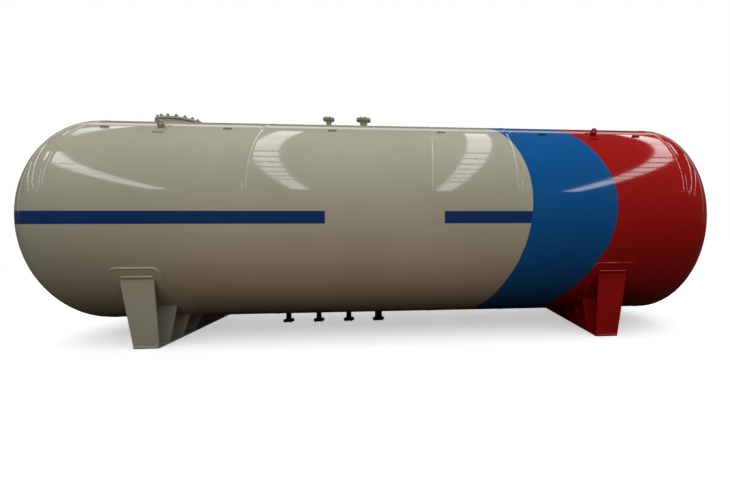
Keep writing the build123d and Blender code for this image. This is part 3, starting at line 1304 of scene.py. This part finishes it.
@dataclass
class Studio:
    """The pale floor, the soft sky, the lamps and the camera."""

    floor_half_size: float = 60
    floor_pale: Colour = (0.75, 0.75, 0.75, 1)
    floor_bounce: Colour = (0.035, 0.024, 0.019, 1)
    floor_glow: float = 0.5
    fade_start: float = 6
    fade_end: float = 18
    white: Colour = (1, 1, 1, 1)
    sky_low: Colour = (0.02, 0.015, 0.012, 1)
    sky_high: Colour = (1.30, 1.36, 1.43, 1)
    hall: Colour = (0.060, 0.054, 0.048, 1)
    ridge_light: Colour = (1.05, 1.03, 0.98, 1)
    ridge_low: float = math.radians(38)
    ridge_high: float = math.radians(46)
    ridge_softness: float = math.radians(2)

    def build(self) -> None:
        """Make everything round the tank."""
        self.floor()
        self.sky()
        for lamp in SKYLIGHTS + SOFT_BOXES:
            lamp.build()
        PhotoCamera().build()
        bpy.context.scene.view_settings.view_transform = "Standard"
        LOG.info("studio: ready")

    def floor(self) -> None:
        """Make the floor, which keeps the tank's shadow and fades to white far out."""
        bm = bmesh.new()
        bmesh.ops.create_grid(bm, x_segments=1, y_segments=1, size=self.floor_half_size)
        mesh = bpy.data.meshes.new("studio_floor")
        bm.to_mesh(mesh)
        bm.free()
        add_to_scene("studio_floor", mesh)
        material, canvas = new_material("studio_floor_pale")
        place = canvas.add("ShaderNodeTexCoord").outputs["Object"]
        reach = canvas.add("ShaderNodeVectorMath", {0: place}, operation="LENGTH").outputs["Value"]
        far = canvas.ramp(reach, self.fade_start, self.fade_end, 0, 1)
        seen = canvas.add("ShaderNodeLightPath").outputs["Is Camera Ray"]
        colour = canvas.blend(seen, self.floor_bounce, self.floor_pale)
        matte = canvas.add("ShaderNodeBsdfDiffuse", {"Color": colour}).outputs[0]
        glow_share = canvas.calc("MULTIPLY", seen, self.floor_glow)
        glow = canvas.add("ShaderNodeEmission", {"Strength": glow_share}).outputs[0]
        near_mix = canvas.add("ShaderNodeAddShader", {0: matte, 1: glow}).outputs[0]
        white = canvas.add("ShaderNodeEmission", {"Strength": seen}).outputs[0]
        far_share = canvas.calc("MULTIPLY", far, seen)
        whole = canvas.add("ShaderNodeMixShader", {0: far_share, 1: near_mix, 2: white}).outputs[0]
        canvas.add("ShaderNodeOutputMaterial", {0: whole})
        mesh.materials.append(material)

    def sky(self) -> None:
        """Make the world: white to the camera and through glass, a hall to mirrors, a dome to the rest."""
        world = bpy.data.worlds.new("studio_sky")
        world.use_nodes = True
        bpy.context.scene.world = world
        canvas = NodeCanvas(world.node_tree)
        way = canvas.add("ShaderNodeTexCoord").outputs["Generated"]
        axes = canvas.add("ShaderNodeSeparateXYZ", {0: way}).outputs
        dome = canvas.blend(canvas.calc("MAXIMUM", axes[2], 0), self.sky_low, self.sky_high)
        mirrored = self.hall_look(canvas, canvas.calc("ARCTAN2", axes[2], axes[1]))
        rays = canvas.add("ShaderNodeLightPath").outputs
        colour = canvas.blend(rays["Is Glossy Ray"], dome, mirrored)
        clear = canvas.calc("MAXIMUM", rays["Is Camera Ray"], rays["Is Transmission Ray"])
        colour = canvas.blend(clear, colour, self.white)
        glow = canvas.add("ShaderNodeBackground", {"Color": colour, "Strength": 1.0})
        canvas.add("ShaderNodeOutputWorld", {0: glow.outputs[0]})

    def hall_look(self, canvas: NodeCanvas, slope: Socket) -> Socket:
        """The dim hall that the enamel mirrors, with the long roof light behind the tank.

        Args:
            canvas: the world's canvas.
            slope: angle above the level, towards the rear.

        Returns:
            The colour in that direction.
        """
        soft = self.ridge_softness
        above = canvas.ramp(slope, self.ridge_low - soft, self.ridge_low + soft, 0, 1)
        below = canvas.ramp(slope, self.ridge_high - soft, self.ridge_high + soft, 1, 0)
        return canvas.blend(canvas.calc("MULTIPLY", above, below), self.hall, self.ridge_light)


def main() -> None:
    """Build the tank's pieces in order, then the studio."""
    logging.basicConfig(level=logging.INFO, format="%(name)s %(message)s")
    paints = Paintbox(TankEnamel().build(), DARK_PAINT.build(), FASTENER.build(), GASKET_SHEET.build())
    TankShell(paints).build()
    for end in End:
        Saddle(paints, end).build()
    Manhole(paints).build()
    NozzleRows(paints).build()
    ShoulderFittings(paints).build()
    Studio().build()


if __name__ == "__main__":
    main()
